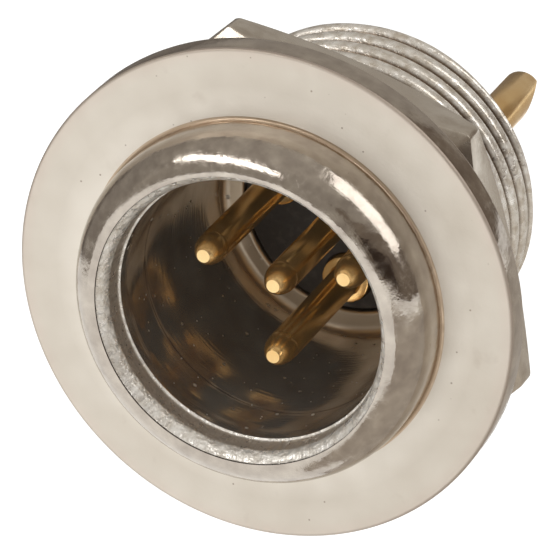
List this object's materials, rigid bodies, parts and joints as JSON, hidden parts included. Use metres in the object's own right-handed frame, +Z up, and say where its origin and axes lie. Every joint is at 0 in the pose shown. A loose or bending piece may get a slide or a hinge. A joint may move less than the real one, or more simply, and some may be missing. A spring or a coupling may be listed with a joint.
{
  "type": "mini xlr panel connector",
  "caption": "Round flanged male panel connector with gold pins in a deep bore, threaded barrel and hex nut.",
  "frame": {"origin": "on the connector's axis, in the plane of the flange's back face, which bears on the panel", "axes": "+Y along the axis towards the solder cups, -Y out of the mouth, +Z up through the key"},
  "size_m": [0.016, 0.0187, 0.016],
  "materials": {
    "nickel_shell": "nickel-plated turned brass, satin with polished nose",
    "nickel_nut": "nickel-plated brass, smooth flats",
    "black_insulator": "moulded black plastic",
    "gold_contact": "gold-plated turned brass"
  },
  "bodies": {
    "connector": {"shell": "nickel_shell", "insulator": "black_insulator", "contact_centre": "gold_contact", "contact_right": "gold_contact", "contact_left": "gold_contact", "contact_bottom": "gold_contact"},
    "nut": {"hex_nut": "nickel_nut"}
  },
  "joints": [
    {"name": "nut_travel", "type": "slide", "parent": "connector", "child": "nut", "axis": [0, 1, 0], "range_m": [0, 0.0059]}
  ]
}
